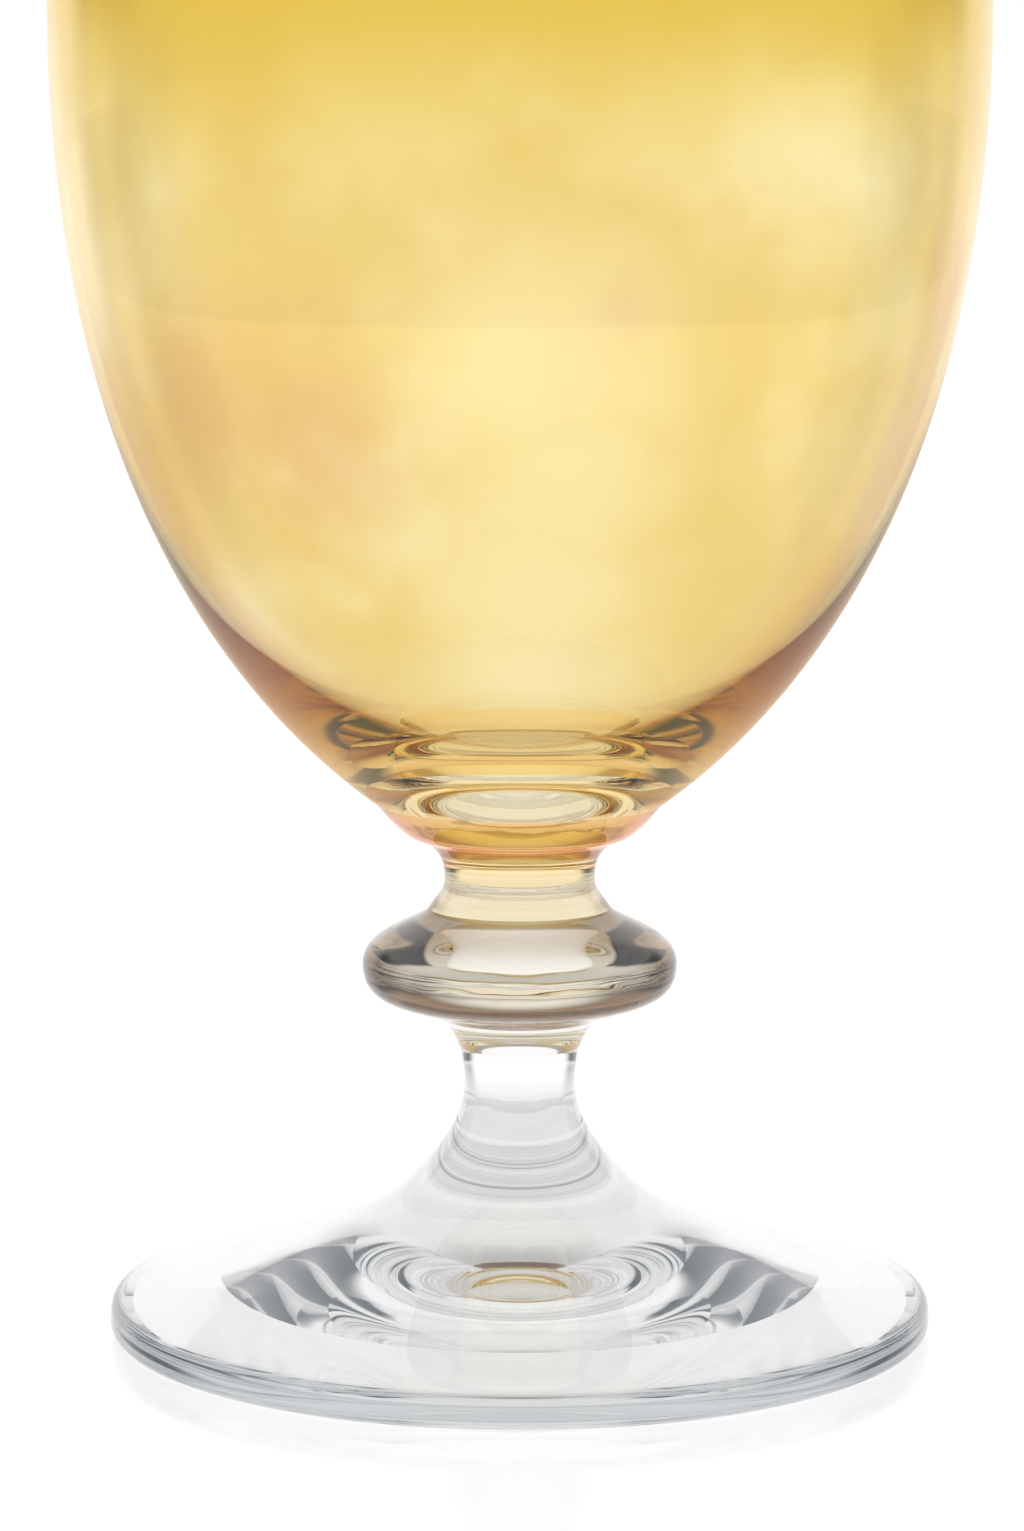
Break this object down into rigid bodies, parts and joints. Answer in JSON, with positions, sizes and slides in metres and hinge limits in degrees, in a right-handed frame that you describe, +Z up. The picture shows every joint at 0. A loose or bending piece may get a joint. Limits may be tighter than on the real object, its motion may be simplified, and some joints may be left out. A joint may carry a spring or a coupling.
{
  "type": "stemmed drinking goblet",
  "caption": "Blown goblet: amber lustre egg-shaped bowl on an orange merese, with a ring knop, a short waisted clear stem and a wide clear conical foot.",
  "frame": {"origin": "centre of the flat ring under the foot, on the surface that the goblet stands on", "axes": "+Z up along the axis of the stem and bowl, towards the rim; the object is round about Z, so X and Y are free"},
  "size_m": [0.0838, 0.0838, 0.158],
  "materials": {
    "amber_lustre_glass": "clear blown glass with a golden amber lustre, fire-polished",
    "orange_glass": "orange glass, fire-polished",
    "smoky_clear_glass": "clear glass with a faint smoky straw tint, fire-polished",
    "clear_glass": "clear colourless glass, fire-polished"
  },
  "bodies": {
    "root": {"bowl": "amber_lustre_glass", "merese": "orange_glass", "neck": "smoky_clear_glass", "knop": "smoky_clear_glass", "stem_collar": "clear_glass", "stem": "clear_glass", "foot_boss": "clear_glass", "foot": "clear_glass"}
  },
  "joints": []
}
